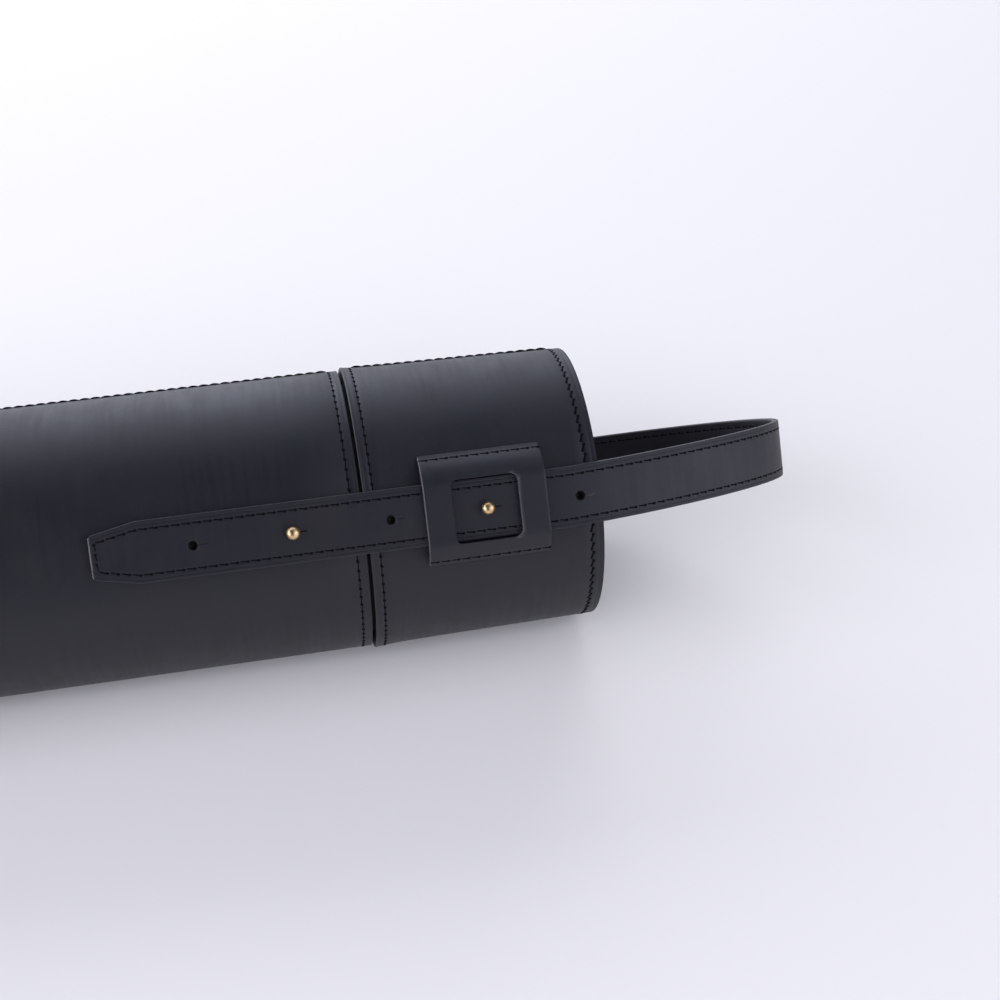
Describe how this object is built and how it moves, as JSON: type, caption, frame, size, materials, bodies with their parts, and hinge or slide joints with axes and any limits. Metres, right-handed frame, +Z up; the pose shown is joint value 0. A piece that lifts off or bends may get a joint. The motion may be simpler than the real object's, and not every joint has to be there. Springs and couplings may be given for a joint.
{
  "type": "drawing tube",
  "caption": "Round stitched leather drawing tube with a slip-on cap and a strap that buttons onto studs and loops over the cap as a handle.",
  "frame": {"origin": "centre of the bounding box in X and Y, on the surface the tube lies on", "axes": "+X along the tube towards the cap and handle, +Z up with the tube lying on its side"},
  "size_m": [0.7372, 0.1266, 0.122],
  "materials": {
    "leather": "satin black bridle leather with burnished edges",
    "lining": "matte black lining leather",
    "board": "fibreboard",
    "brass": "polished",
    "thread": "waxed black linen thread"
  },
  "bodies": {
    "tube": {"body_shell": "leather", "body_core": "board", "neck_sleeve": "lining", "base_disc": "leather", "base_board": "board", "front_body_stud": "brass", "front_body_stud_washer": "brass", "front_body_stud_screw": "brass", "back_body_stud": "brass", "back_body_stud_washer": "brass", "back_body_stud_screw": "brass"},
    "cap": {"cap_shell": "leather", "cap_liner": "lining", "cap_disc": "leather", "cap_board": "board", "strap_handle": "leather", "front_keeper": "leather", "front_cap_stud": "brass", "front_cap_stud_washer": "brass", "front_cap_stud_screw": "brass", "back_keeper": "leather", "back_cap_stud": "brass", "back_cap_stud_washer": "brass", "back_cap_stud_screw": "brass"},
    "front_bend": {"front_strap_bend": "leather"},
    "front_tail": {"front_strap_tail": "leather"},
    "back_bend": {"back_strap_bend": "leather"},
    "back_tail": {"back_strap_tail": "leather"}
  },
  "joints": [
    {"name": "cap_slide", "type": "slide", "parent": "tube", "child": "cap", "axis": [1, 0, 0], "range_m": [0, 0.065]},
    {"name": "front_strap_peel", "type": "hinge", "parent": "cap", "child": "front_bend", "pos_m": [0.1937, -0.05278, 0.09859], "axis": [0, 0.5801, 0.8145], "range_deg": [0, 92]},
    {"name": "front_strap_unbutton", "type": "hinge", "parent": "front_bend", "child": "front_tail", "pos_m": [0.1789, -0.05278, 0.09859], "axis": [0, 0.5801, 0.8145], "range_deg": [0, 35]},
    {"name": "back_strap_peel", "type": "hinge", "parent": "cap", "child": "back_bend", "pos_m": [0.1937, 0.05278, 0.02341], "axis": [0, -0.5801, -0.8145], "range_deg": [0, 92]},
    {"name": "back_strap_unbutton", "type": "hinge", "parent": "back_bend", "child": "back_tail", "pos_m": [0.1789, 0.05278, 0.02341], "axis": [0, -0.5801, -0.8145], "range_deg": [0, 35]}
  ],
  "couplings": [
    {"joint": "front_strap_peel", "follows": "cap_slide", "rad_per_m": 24.703},
    {"joint": "back_strap_peel", "follows": "cap_slide", "rad_per_m": 24.703}
  ]
}
